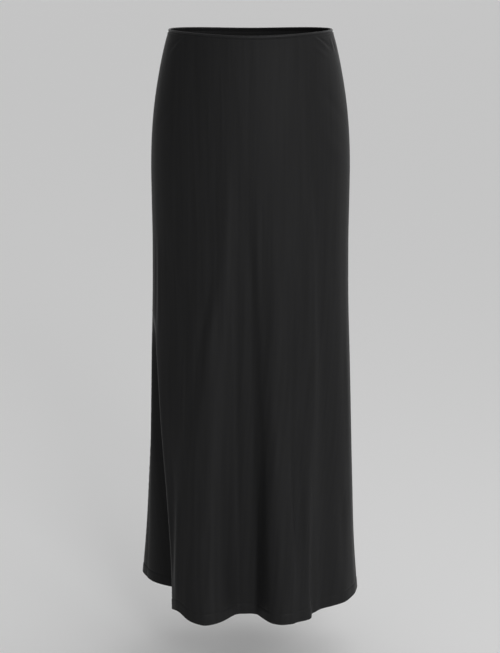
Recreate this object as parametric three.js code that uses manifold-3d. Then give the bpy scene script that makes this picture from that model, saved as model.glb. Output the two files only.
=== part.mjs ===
// A worn maxi skirt in black satin, hollow, with nobody in it.
// Millimetres, +Z up. The origin is the middle of the waist, +X is the picture's right, the front faces -Y.
// Two flared panels hang from a narrow stitched waist edge, and a concealed zip closes the side seam at +X.
import * as THREE from "three";
import { mergeVertices } from "three/addons/utils/BufferGeometryUtils.js";
import Module from "manifold-3d";

const wasm = await Module();
wasm.setup();

// The cloth
const CLOTH = 1.5; // wall of a panel
const HEM_TURN = 18; // height of the turned-up hem
const HEM_EXTRA = 0.8; // what the turned-up layer adds to the wall, on the inside
const SKIRT_LENGTH = 925; // depth below the waist at which the fold table gives its full depth
const HEM_LEVEL = 911; // mean depth of the hem edge
const HEM_TILT = 0.06; // the front of the hem hangs lower and the back higher
const HEM_LIFT = { angle: 224.2, reach: 9.2, height: 10 }; // the hem swings up where the left fold turns in
const SIDE_RISE = 3.5; // the waist edge lifts at the sides
const FRONT_DIP = 2; // and dips at the middle of the front
const SQUARENESS = 2.15; // 2 is an ellipse, more is squarer

// The seams and the waist edge
const SEAM_GAP = 0.3; // between two pieces that meet
const SEAM_RIGHT = 13; // degrees round from +X towards the back
const SEAM_LEFT = 167;
const EDGE_HEIGHT = 3.4; // stitched waist edge
const EDGE_PROUD = 0.45; // how far it swells on each face

// The concealed zip
const ZIP_MOUTH = 2.2; // the seam stands open this far round the slider
const ZIP_MOUTH_END = 20; // depth below the waist where the mouth starts to close
const ZIP_MOUTH_TAPER = 8; // and the depth that it takes to close
const ZIP_ROWS = 7; // rows of the panel that the zip runs down, about 180 mm
const TAPE_WIDTH = 12;
const TAPE_THICK = 0.9;
const TAPE_GAP = 0.6; // between a panel's inner face and the tape on it
const TAPE_INSET = 0.9; // from the panel's seam edge to the tape
const SLIDER_PLAY = 0.45; // between the tapes and the slider's body
const SLIDER_DEPTH = 11.5; // centre of the slider below the waist
const NECK = { thick: 1.4, half: 3.8 };
const BODY = { width: 6.4, length: 10, thick: 1.6, taper: 0.62 }; // taper: low width to high width
const ARCH = { outer: 3.6, corner: 1, eyeLow: 0.8, eyeHigh: 2.8, eyeHalf: 2.7 };
const TIP = 0.8; // roundness of the pull's end
const PULL = { thick: 1, bar: 1, width: 4.8, eyeWidth: 2.6, eyeLength: 5.6, length: 20 };

// How finely the solids are divided
const FRONT_COLUMNS = 46;
const BACK_COLUMNS = 38;
const EDGE_COLUMNS = 30;
const TOP_ROWS = [0, 0.009, 0.019, 0.03]; // the panel's first rows, as shares of the way to the hem
const PANEL_ROWS = 17; // even rows below them
const EDGE_ROWS = [0, 0.3, 0.7, 1]; // rows of the waist edge, as shares of its height
const SAMPLES_PER_COLUMN = 12;
const PULL_ARC_STEPS = 10; // steps round the end of the pull
const WELD = 1e-4; // points nearer than this are one point
const NUDGE = { angle: 0.2, down: 2 }; // steps across which the slope of the cloth is taken
const RUN_ON = 0.5; // how far the section table may be read past its ends, in rows

// Level sections: depth below the waist, half of the width, and how far the front and back stand out
const SECTIONS = [
  { down: -4, half: 124.8, front: 90, back: 90 },
  { down: 6, half: 128, front: 93, back: 92 },
  { down: 24, half: 133, front: 97, back: 96 },
  { down: 60, half: 140.8, front: 102, back: 104 },
  { down: 107, half: 148.6, front: 107, back: 114 },
  { down: 153, half: 153.2, front: 110, back: 122 },
  { down: 200, half: 155.2, front: 111, back: 127 },
  { down: 265, half: 155, front: 111, back: 128 },
  { down: 322, half: 154.6, front: 111, back: 128 },
  { down: 420, half: 156, front: 112, back: 129 },
  { down: 520, half: 159.8, front: 113, back: 130 },
  { down: 620, half: 163.2, front: 114, back: 132 },
  { down: 723, half: 165.4, front: 115, back: 134 },
  { down: 827, half: 167.6, front: 117, back: 136 },
  { down: 925, half: 173, front: 118, back: 138 },
];

// Folds, which open downwards. from: depth where one starts. top, hem: its angle there and at the hem.
// before, after: its reach to each side at the hem. narrow: the share of that reach at its start.
// depth: how far it stands out at the hem, less than 0 for a valley. power: how late it deepens.
// flat: the share of its reach that is level. soft: how gently it starts, as a share of its length.
const FOLD_COLUMNS = ["name", "from", "top", "hem", "before", "after", "narrow", "depth", "power", "flat", "soft"];
const FOLDS = [
  ["deep side fold", 440, 186, 191, 23, 27, 0.25, -68, 0.7, 0.12, 0.08],
  ["left back ridge", 560, 168, 158, 14, 14, 0.7, 27.5, 1.35, 0, 0],
  ["front left ridge", 300, 236, 240, 33, 17, 0.75, 32.5, 1.3, 0.1, 0],
  ["centre valley", 180, 262, 268.4, 20.3, 17, 0.7, -18.6, 1.3, 0.37, 0],
  ["front right ridge", 260, 292, 293.4, 19.7, 16.5, 0.7, 25.3, 1.3, 0.12, 0],
  ["step ridge", 560, 309, 308.1, 10.4, 8, 0.7, 16.5, 1.4, 0, 0],
  ["step valley", 420, 328, 325, 13.3, 17.4, 0.8, -10.3, 1.3, 0, 0],
  ["right side ridge", 600, 2, 2, 16, 16, 0.8, 5, 1.3, 0, 0],
  ["back valley 1", 330, 134, 136, 13, 14, 0.7, -18, 1.25, 0, 0],
  ["back ridge 1", 360, 114, 114, 14, 13, 0.7, 18, 1.25, 0, 0],
  ["back valley 2", 280, 92, 92, 13, 14, 0.7, -20, 1.25, 0, 0],
  ["back ridge 2", 320, 70, 70, 14, 13, 0.7, 20, 1.25, 0, 0],
  ["back valley 3", 400, 50, 48, 12, 13, 0.7, -16, 1.25, 0, 0],
  ["back ridge 3", 420, 32, 28, 13, 12, 0.7, 14, 1.25, 0, 0],
].map((row) => Object.fromEntries(FOLD_COLUMNS.map((column, i) => [column, row[i]])));
const NARROWING = 0.7; // how fast a fold reaches its full width
const FOLD_LIMIT = 1.05; // folds stop widening and drifting just under the hem

const clamp = THREE.MathUtils.clamp;
const radians = THREE.MathUtils.degToRad;

// One column of the section table at a depth, on a smooth curve through its rows
function section(column, down) {
  const last = SECTIONS.length - 1;
  let i = 0;
  while (i < last - 1 && SECTIONS[i + 1].down < down) i++;
  const row = (k) => SECTIONS[clamp(k, 0, last)];
  const slope = (k) => (row(k + 1)[column] - row(k - 1)[column]) / (row(k + 1).down - row(k - 1).down);
  const step = row(i + 1).down - row(i).down;
  const t = clamp((down - row(i).down) / step, -RUN_ON, 1 + RUN_ON);
  const a = 2 * t ** 3 - 3 * t ** 2 + 1;
  const b = t ** 3 - 2 * t ** 2 + t;
  const c = t ** 3 - t ** 2;
  return a * row(i)[column] + (1 - a) * row(i + 1)[column] + step * (b * slope(i) + c * slope(i + 1));
}

// How far one fold moves the cloth out from the axis at an angle and a depth
function foldDepth(fold, angle, down) {
  const grown = Math.max(0, (down - fold.from) / (SKIRT_LENGTH - fold.from));
  if (grown === 0) return 0;
  const held = Math.min(grown, FOLD_LIMIT);
  const centre = fold.top + (fold.hem - fold.top) * held;
  const off = THREE.MathUtils.euclideanModulo(angle - centre + 180, 360) - 180;
  const width = fold.narrow + (1 - fold.narrow) * held ** NARROWING;
  const reach = (off < 0 ? fold.before : fold.after) * width;
  const away = clamp((Math.abs(off) / reach - fold.flat) / (1 - fold.flat), 0, 1);
  const eased = ((1 + fold.soft) * grown * grown) / (grown + fold.soft);
  return fold.depth * eased ** fold.power * Math.cos((Math.PI * away) / 2) ** 2;
}

// Distance of the outer face from the axis
function radius(angle, down) {
  const c = Math.abs(Math.cos(radians(angle)));
  const s = Math.sin(radians(angle));
  const depth = section(s < 0 ? "front" : "back", down);
  const round = (c / section("half", down)) ** SQUARENESS + (Math.abs(s) / depth) ** SQUARENESS;
  return FOLDS.reduce((r, fold) => r + foldDepth(fold, angle, down), round ** (-1 / SQUARENESS));
}

// A point of the outer face
function surface(angle, down) {
  const r = radius(angle, down);
  return new THREE.Vector3(r * Math.cos(radians(angle)), r * Math.sin(radians(angle)), -down);
}

// The direction out of the cloth
function outward(angle, down) {
  const turn = surface(angle + NUDGE.angle, down).sub(surface(angle - NUDGE.angle, down));
  const drop = surface(angle, down - NUDGE.down).sub(surface(angle, down + NUDGE.down));
  return turn.cross(drop).normalize();
}

// A point moved out of the cloth, or into it with a negative offset
function cloth(angle, down, offset = 0) {
  return surface(angle, down).addScaledVector(outward(angle, down), offset);
}

// Depth of the waist edge and of the hem edge at an angle
function waistDepth(angle) {
  const c = Math.cos(radians(angle));
  const s = Math.sin(radians(angle));
  return FRONT_DIP * Math.max(0, -s) ** 2 - SIDE_RISE * c * c;
}
function hemDepth(angle) {
  const lift = HEM_LIFT.height * Math.exp(-(((angle - HEM_LIFT.angle) / HEM_LIFT.reach) ** 2));
  return HEM_LEVEL - HEM_TILT * surface(angle, SKIRT_LENGTH).y - lift;
}

// Half of the gap in a side seam, in degrees: a hair, or the mouth that the slider needs
function seamDegrees(angle, down, mouth) {
  const open = mouth ? clamp((ZIP_MOUTH_END - down) / ZIP_MOUTH_TAPER + 1, 0, 1) : 0;
  const half = (SEAM_GAP + (ZIP_MOUTH - SEAM_GAP) * open) / 2;
  const perDegree = surface(angle + 0.5, down).distanceTo(surface(angle - 0.5, down));
  return half / perDegree;
}

// Angles from one to another, at equal lengths of cloth along a row
function evenAngles(from, to, columns, depthAt) {
  const samples = columns * SAMPLES_PER_COLUMN;
  const angles = Array.from({ length: samples + 1 }, (_, i) => from + ((to - from) * i) / samples);
  const points = angles.map((angle) => surface(angle, depthAt(angle)));
  const run = [0];
  for (let i = 1; i <= samples; i++) run.push(run[i - 1] + points[i].distanceTo(points[i - 1]));
  let k = 0;
  return Array.from({ length: columns + 1 }, (_, j) => {
    const want = (run[samples] * j) / columns;
    while (k < samples - 1 && run[k + 1] < want) k++;
    return angles[k] + ((angles[k + 1] - angles[k]) * (want - run[k])) / (run[k + 1] - run[k]);
  });
}

// A closed wall from two grids of points, the outer face and the inner face, rows downwards
function wall(outer, inner) {
  const rows = outer.length - 1;
  const columns = outer[0].length - 1;
  const width = columns + 1;
  const points = [...outer.flat(), ...inner.flat()];
  const inside = (rows + 1) * width;
  const index = [];
  const quad = (a, b, c, d) => index.push(a, b, c, a, c, d);
  for (let i = 0; i < rows; i++) {
    for (let j = 0; j < columns; j++) {
      const a = i * width + j;
      quad(a, a + width, a + width + 1, a + 1);
      quad(inside + a, inside + a + 1, inside + a + width + 1, inside + a + width);
    }
    const left = i * width;
    const right = left + columns;
    quad(left, inside + left, inside + left + width, left + width);
    quad(right, right + width, inside + right + width, inside + right);
  }
  for (let j = 0; j < columns; j++) {
    const low = rows * width + j;
    quad(j, j + 1, inside + j + 1, inside + j);
    quad(low, inside + low, inside + low + 1, low + 1);
  }
  const geometry = new THREE.BufferGeometry().setFromPoints(points);
  geometry.setIndex(index);
  geometry.computeVertexNormals();
  return geometry;
}

// Shares of the way from the waist to the hem at which a panel has a row
function panelRows() {
  const first = TOP_ROWS.at(-1);
  const turn = 1 - HEM_TURN / HEM_LEVEL;
  const even = Array.from({ length: PANEL_ROWS }, (_, i) => first + ((turn - first) * (i + 1)) / PANEL_ROWS);
  return [...TOP_ROWS, ...even, 1];
}

// Angles and depths of a row of points between two side seams
function seamToSeam(from, to, columns, depthAt) {
  const trim = (angle) => seamDegrees(angle, depthAt(angle), angle % 360 === SEAM_RIGHT);
  const angles = evenAngles(from + trim(from), to - trim(to), columns, depthAt);
  return angles.map((angle) => ({ angle, down: depthAt(angle) }));
}

// The rows of points of a panel
function panelGrid(from, to, columns) {
  const start = EDGE_HEIGHT + SEAM_GAP;
  return panelRows().map((share) =>
    seamToSeam(from, to, columns, (angle) => {
      const top = waistDepth(angle) + start;
      return top + (hemDepth(angle) - top) * share;
    }),
  );
}

// A panel, thicker where its hem is turned up
function panel(grid) {
  const thick = (row) => CLOTH + (row >= grid.length - 2 ? HEM_EXTRA : 0);
  return wall(
    grid.map((row) => row.map((p) => cloth(p.angle, p.down))),
    grid.map((row, i) => row.map((p) => cloth(p.angle, p.down, -thick(i)))),
  );
}

// Half of the stitched waist edge: a strip that swells a little on both faces
function waistEdge(from, to) {
  const grid = EDGE_ROWS.map((share) =>
    seamToSeam(from, to, EDGE_COLUMNS, (angle) => waistDepth(angle) + EDGE_HEIGHT * share),
  );
  const swell = EDGE_ROWS.map((share) => (share > 0 && share < 1 ? EDGE_PROUD : 0));
  return wall(
    grid.map((row, i) => row.map((p) => cloth(p.angle, p.down, swell[i]))),
    grid.map((row, i) => row.map((p) => cloth(p.angle, p.down, -CLOTH - swell[i]))),
  );
}

// One zip tape, laid on the inner face of a panel's last column beside the seam
function zipTape(grid, seamFirst) {
  const face = (depth) =>
    grid.slice(0, ZIP_ROWS).map((row) => {
      const [edge, next] = seamFirst ? [row[0], row[1]] : [row.at(-1), row.at(-2)];
      const a = cloth(edge.angle, edge.down, depth);
      const b = cloth(next.angle, next.down, depth);
      const place = (mm) => a.clone().lerp(b, mm / a.distanceTo(b));
      const pair = [place(TAPE_INSET), place(TAPE_INSET + TAPE_WIDTH)];
      return seamFirst ? pair : pair.reverse();
    });
  return wall(face(-CLOTH - TAPE_GAP), face(-CLOTH - TAPE_GAP - TAPE_THICK));
}

// Joins closed geometries into one
function join(geometries) {
  const solids = geometries.map((source) => {
    const g = source.clone();
    g.deleteAttribute("normal");
    g.deleteAttribute("uv");
    const merged = mergeVertices(g, WELD);
    return new wasm.Manifold(
      new wasm.Mesh({
        numProp: 3,
        vertProperties: merged.attributes.position.array,
        triVerts: new Uint32Array(merged.index.array),
      }),
    );
  });
  const mesh = solids.reduce((a, b) => a.add(b)).getMesh();
  const g = new THREE.BufferGeometry();
  g.setAttribute("position", new THREE.BufferAttribute(mesh.vertProperties, 3));
  g.setIndex(new THREE.BufferAttribute(mesh.triVerts, 1));
  g.computeVertexNormals();
  return g;
}

// The zip's metal is drawn flat on the seam: x along the waist, y up the seam, z out of the cloth.
// Slider: a body behind the tapes, a neck through the seam and an arch outside that holds the pull
function zipSlider() {
  const behind = -(CLOTH + TAPE_GAP + TAPE_THICK + SLIDER_PLAY);
  const profile = new THREE.Shape([
    new THREE.Vector2(-NECK.half, behind - BODY.thick / 2),
    new THREE.Vector2(NECK.half, behind - BODY.thick / 2),
    new THREE.Vector2(NECK.half, ARCH.outer - ARCH.corner),
    new THREE.Vector2(NECK.half - ARCH.corner, ARCH.outer),
    new THREE.Vector2(ARCH.corner - NECK.half, ARCH.outer),
    new THREE.Vector2(-NECK.half, ARCH.outer - ARCH.corner),
  ]);
  profile.holes.push(
    new THREE.Path([
      new THREE.Vector2(-ARCH.eyeHalf, ARCH.eyeLow),
      new THREE.Vector2(-ARCH.eyeHalf, ARCH.eyeHigh),
      new THREE.Vector2(ARCH.eyeHalf, ARCH.eyeHigh),
      new THREE.Vector2(ARCH.eyeHalf, ARCH.eyeLow),
    ]),
  );
  const neck = new THREE.ExtrudeGeometry(profile, { depth: NECK.thick, bevelEnabled: false });
  neck.translate(0, 0, -NECK.thick / 2);
  neck.applyMatrix4(new THREE.Matrix4().makeBasis(
    new THREE.Vector3(0, 1, 0),
    new THREE.Vector3(0, 0, 1),
    new THREE.Vector3(1, 0, 0),
  ));
  const outline = new THREE.Shape();
  const w = BODY.width / 2;
  const l = BODY.length / 2;
  outline.moveTo(-w, l);
  outline.lineTo(-w * BODY.taper, -l);
  outline.lineTo(w * BODY.taper, -l);
  outline.lineTo(w, l);
  outline.closePath();
  const body = new THREE.ExtrudeGeometry(outline, { depth: BODY.thick, bevelEnabled: false });
  body.translate(0, 0, behind - BODY.thick);
  return join([neck, body]);
}

// Pull tab: a drop-shaped plate with an eye, whose top bar turns in the slider's arch
function zipPull() {
  const half = PULL.width / 2;
  const bar = PULL.bar / 2;
  const shoulder = PULL.eyeLength + PULL.bar;
  const outline = new THREE.Shape();
  outline.moveTo(half, bar);
  outline.lineTo(-half, bar);
  outline.lineTo(-half, -shoulder);
  outline.absarc(0, -PULL.length + half, half * TIP, Math.PI, 2 * Math.PI, false);
  outline.lineTo(half, -shoulder);
  const eye = PULL.eyeWidth / 2;
  outline.holes.push(
    new THREE.Path([
      new THREE.Vector2(-eye, -bar),
      new THREE.Vector2(eye, -bar),
      new THREE.Vector2(eye, -PULL.eyeLength),
      new THREE.Vector2(-eye, -PULL.eyeLength),
    ]),
  );
  const cut = { depth: PULL.thick, bevelEnabled: false, curveSegments: PULL_ARC_STEPS };
  const plate = new THREE.ExtrudeGeometry(outline, cut);
  plate.translate(0, 0, -PULL.thick / 2);
  return plate;
}

const finish = (color, roughness, metalness) =>
  new THREE.MeshStandardMaterial({ color, roughness, metalness });
const satin = finish(0x1b1b1d, 0.55, 0);
const edging = finish(0x202022, 0.5, 0);
const tape = finish(0x151517, 0.85, 0);
const metal = finish(0x26262a, 0.35, 0.9);

function named(name, geometry, material) {
  const mesh = new THREE.Mesh(geometry, material);
  mesh.name = name;
  return mesh;
}

// The zip's metal, turned so that its drawing lies on the seam
function zipMetal() {
  const out = outward(SEAM_RIGHT, SLIDER_DEPTH);
  const up = new THREE.Vector3(0, 0, 1).addScaledVector(out, -out.z).normalize();
  const along = new THREE.Vector3().crossVectors(up, out);
  const group = new THREE.Group();
  group.position.copy(surface(SEAM_RIGHT, SLIDER_DEPTH));
  group.quaternion.setFromRotationMatrix(new THREE.Matrix4().makeBasis(along, up, out));
  const pull = named("zip_pull", zipPull(), metal);
  pull.position.z = (ARCH.eyeLow + ARCH.eyeHigh) / 2;
  group.add(named("zip_slider", zipSlider(), metal), pull);
  return group;
}

const front = panelGrid(SEAM_LEFT, SEAM_RIGHT + 360, FRONT_COLUMNS);
const back = panelGrid(SEAM_RIGHT, SEAM_LEFT, BACK_COLUMNS);
const skirt = new THREE.Group();
skirt.add(
  named("front_panel", panel(front), satin),
  named("back_panel", panel(back), satin),
  named("waist_edge_front", waistEdge(SEAM_LEFT, SEAM_RIGHT + 360), edging),
  named("waist_edge_back", waistEdge(SEAM_RIGHT, SEAM_LEFT), edging),
  named("zip_tape_front", zipTape(front, false), tape),
  named("zip_tape_back", zipTape(back, true), tape),
  zipMetal(),
);

export default skirt;
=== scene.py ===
"""Black satin maxi skirt, worn and hollow: panels with their hems, waist edge, stitching and side zip.

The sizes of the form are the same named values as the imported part's, in millimetres, with the smaller
creases added. Angles run round the body from +X, over the back at 90, to the front at 270 degrees.
"""

from __future__ import annotations

import logging
import math
from dataclasses import dataclass
from enum import Enum

import bmesh
import bpy
import numpy as np
from mathutils import Matrix, Vector

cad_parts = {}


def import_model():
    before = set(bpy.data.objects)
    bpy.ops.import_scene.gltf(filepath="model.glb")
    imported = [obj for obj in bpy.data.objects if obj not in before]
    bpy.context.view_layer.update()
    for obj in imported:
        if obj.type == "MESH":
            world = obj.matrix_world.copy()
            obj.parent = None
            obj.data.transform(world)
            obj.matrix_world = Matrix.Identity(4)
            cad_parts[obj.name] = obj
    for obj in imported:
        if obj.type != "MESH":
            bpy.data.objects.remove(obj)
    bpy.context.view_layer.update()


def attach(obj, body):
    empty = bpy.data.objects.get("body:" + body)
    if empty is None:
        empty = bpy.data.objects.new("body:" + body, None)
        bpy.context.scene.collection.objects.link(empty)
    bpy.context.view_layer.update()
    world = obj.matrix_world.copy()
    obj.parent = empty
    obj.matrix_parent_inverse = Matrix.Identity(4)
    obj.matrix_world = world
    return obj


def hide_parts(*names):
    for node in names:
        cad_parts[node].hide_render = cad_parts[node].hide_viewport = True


LOG = logging.getLogger("maxi_skirt")
MM = 0.001
EDGE_SAMPLES = 4000  # along the waist edge or the hem
EDGE_NUDGE = 0.1  # degrees to each side, between which an edge's direction is taken
FRONT = 270.0  # the angle of the front's middle


@dataclass(frozen=True)
class Section:
    """A level section of the body: its depth below the waist, half width, and reach to front and back."""

    down: float
    half: float
    front: float
    back: float


@dataclass(frozen=True)
class Fold:
    """A large fold that opens downwards, with its angle at its start and at the hem, and its reach there."""

    name: str
    start: float  # the depth at which it starts
    top: float  # its angle there
    hem: float  # its angle at the hem
    before: float  # its reach in degrees on each side of that
    after: float
    narrow: float  # the share of its reach that it starts with
    depth: float  # how far out it goes at the hem, or in if below 0
    power: float  # how late it grows
    flat: float  # the share of its reach that is flat in the middle
    soft: float = 0.0  # how gently it starts


@dataclass(frozen=True)
class Crease:
    """A soft ridge, or a trough if its height is below 0, along a path of (down, angle) points."""

    name: str
    path: tuple[tuple[float, float], ...]
    width: float
    height: float
    fade: float = 0.3


SECTIONS = (
    Section(-4, 124.8, 90, 90),
    Section(6, 128, 93, 92),
    Section(24, 133, 97, 96),
    Section(60, 140.8, 102, 104),
    Section(107, 148.6, 107, 114),
    Section(153, 153.2, 110, 122),
    Section(200, 155.2, 111, 127),
    Section(265, 155, 111, 128),
    Section(322, 154.6, 111, 128),
    Section(420, 156, 112, 129),
    Section(520, 159.8, 113, 130),
    Section(620, 163.2, 114, 132),
    Section(723, 165.4, 115, 134),
    Section(827, 167.6, 117, 136),
    Section(925, 173, 118, 138),
)

FOLDS = (
    Fold("deep side fold", 440, 186, 191, 23, 27, 0.25, -68, 0.7, 0.12, 0.08),
    Fold("left back ridge", 560, 168, 158, 14, 14, 0.7, 27.5, 1.35, 0),
    Fold("front left ridge", 300, 236, 240, 33, 17, 0.75, 32.5, 1.3, 0.1),
    Fold("centre valley", 180, 262, 268.4, 20.3, 17, 0.7, -18.6, 1.3, 0.37),
    Fold("front right ridge", 260, 292, 293.4, 19.7, 16.5, 0.7, 25.3, 1.3, 0.12),
    Fold("step ridge", 560, 309, 308.1, 10.4, 8, 0.7, 16.5, 1.4, 0),
    Fold("step valley", 420, 328, 325, 13.3, 17.4, 0.8, -10.3, 1.3, 0),
    Fold("right side ridge", 600, 2, 2, 16, 16, 0.8, 5, 1.3, 0),
    Fold("back valley 1", 330, 134, 136, 13, 14, 0.7, -18, 1.25, 0),
    Fold("back ridge 1", 360, 114, 114, 14, 13, 0.7, 18, 1.25, 0),
    Fold("back valley 2", 280, 92, 92, 13, 14, 0.7, -20, 1.25, 0),
    Fold("back ridge 2", 320, 70, 70, 14, 13, 0.7, 20, 1.25, 0),
    Fold("back valley 3", 400, 50, 48, 12, 13, 0.7, -16, 1.25, 0),
    Fold("back ridge 3", 420, 32, 28, 13, 12, 0.7, 14, 1.25, 0),
)

FRONT_CREASES = (
    Crease("left of centre ridge",
           ((140, 252), (322, 251.6), (430, 249.5), (555, 245.6), (684, 244.4), (889, 243)), 13, 3.2, 0.22),
    Crease("left of centre shade", ((200, 258.5), (430, 259), (640, 256.5), (800, 255), (900, 255)), 8, -1.6),
    Crease("centre trough", ((200, 266), (398, 272), (557, 275.5), (620, 278.5), (900, 280.5)), 7, -1.4),
    Crease("centre trough lip", ((420, 281), (620, 285), (900, 286)), 10, 1.6),
    Crease("slanting trough",
           ((320, 243), (422, 236.5), (480, 232.5), (567, 229.5), (679, 226.5), (780, 226.5)), 6.5, -1.1),
    Crease("slanting ridge",
           ((330, 247), (422, 242.5), (480, 239), (560, 236), (654, 233.6), (748, 234.4), (880, 236)),
           8.5, 2.5, 0.22),
    Crease("left short ridge", ((480, 224.5), (560, 225), (650, 226)), 6, 0.5, 0.4),
    Crease("left long shade", ((420, 221), (560, 220.5), (700, 221), (860, 223)), 8, -0.9),
    Crease("right ridge",
           ((160, 311.5), (300, 314.5), (450, 316.5), (561, 316), (656, 313), (803, 310.5), (884, 305)),
           9.5, 4, 0.18),
    Crease("right ridge shade", ((200, 303), (420, 307), (650, 302.5), (830, 301)), 8.5, -2.3),
    Crease("right soft valley", ((280, 320), (403, 320.6), (565, 325.6), (731, 326.4), (880, 329)), 15, -2.4),
    Crease("side edge", ((290, 198), (413, 198.2), (500, 198.8)), 3.4, 0.8, 0.4),
    Crease("side edge shade", ((290, 194.5), (413, 194.5), (500, 194)), 4, -0.9, 0.4),
    Crease("dull hollow", ((280, 210), (375, 211), (499, 217), (640, 219)), 20, -2.4),
    Crease("low shade left", ((740, 242), (813, 242), (900, 242)), 6, -2.2),
    Crease("low ridge left", ((700, 219), (800, 220), (900, 222)), 7, 1.6),
    Crease("low trough left", ((640, 213), (780, 214), (900, 216)), 6, -1.6),
    Crease("low ridge right", ((690, 297), (800, 298), (905, 297)), 6, 1.5),
    Crease("low trough right", ((700, 338), (800, 340), (905, 341)), 9, -1.8),
    Crease("right side ridge", ((430, 345), (600, 346), (860, 348)), 10, 1.5),
    Crease("long front ridge", ((230, 289), (420, 291), (600, 292)), 12, 1.3, 0.4),
    Crease("corner pucker", ((1, 322.5), (10, 328.5), (28, 339)), 3.8, 1.2, 0.4),
    Crease("corner pucker shade", ((1, 326.5), (9, 332), (26, 342.5)), 3.2, -1.1, 0.4),
    Crease("corner pucker low", ((14, 320), (24, 326.5), (40, 337)), 3.4, 0.85, 0.4),
    Crease("corner streak", ((6, 343), (30, 343.5)), 2.6, 0.8, 0.4),
    Crease("corner streak shade", ((6, 346.5), (34, 347.5)), 2.8, -0.75, 0.4),
    Crease("left corner pucker", ((3, 214), (18, 207), (34, 201)), 3.2, 0.6, 0.4),
    Crease("left corner shade", ((4, 210), (18, 203), (30, 197.5)), 2.8, -0.5, 0.4),
    Crease("hip drag left", ((70, 222), (120, 206), (160, 192)), 10, -0.7, 0.45),
    Crease("hip drag right", ((60, 318), (110, 334), (150, 350)), 10, -0.7, 0.45),
    Crease("hip drag right low", ((110, 312), (160, 328), (210, 345)), 13, 0.8, 0.45),
)

BACK_CREASES = (
    Crease("seat left trough", ((230, 122), (420, 124), (640, 126), (880, 126)), 9, -2.3),
    Crease("seat left ridge", ((210, 107), (420, 108), (650, 106), (860, 107)), 9, 2.0),
    Crease("seat middle trough", ((180, 97), (400, 96), (640, 94), (890, 95)), 8, -2.4),
    Crease("seat middle ridge", ((240, 84), (430, 82), (650, 80), (880, 81)), 8, 1.9),
    Crease("seat right trough", ((250, 60), (440, 59), (690, 57), (880, 58)), 10, -2.2),
    Crease("seat right ridge", ((190, 71), (380, 72), (560, 71), (700, 73)), 7, 1.6),
    Crease("right side trough", ((330, 36), (520, 37), (760, 38), (890, 37)), 10, -2.0),
    Crease("right side lip", ((360, 24), (560, 23), (820, 21)), 8, 1.5),
    Crease("left side trough", ((420, 148), (600, 147), (800, 146), (890, 147)), 8, -1.9),
    Crease("wedge streak 1", ((640, 170.5), (760, 169.5), (880, 168.5)), 3.2, 1.1),
    Crease("wedge streak 2", ((560, 173.5), (720, 173), (880, 172.5)), 3.4, -1.2),
    Crease("low ridge", ((690, 119), (800, 118), (905, 119)), 6, 1.5),
    Crease("low trough", ((720, 76), (820, 75), (905, 76)), 6, -1.6),
    Crease("waist drag left", ((30, 140), (90, 128), (140, 118)), 9, -0.7, 0.45),
    Crease("waist drag right", ((26, 44), (80, 56), (140, 66)), 9, -0.7, 0.45),
    Crease("zip pucker 1", ((24, 17), (44, 21), (62, 26)), 3, 0.7, 0.4),
    Crease("zip pucker 2", ((60, 17), (84, 22), (108, 28)), 3.4, -0.7, 0.4),
)


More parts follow.
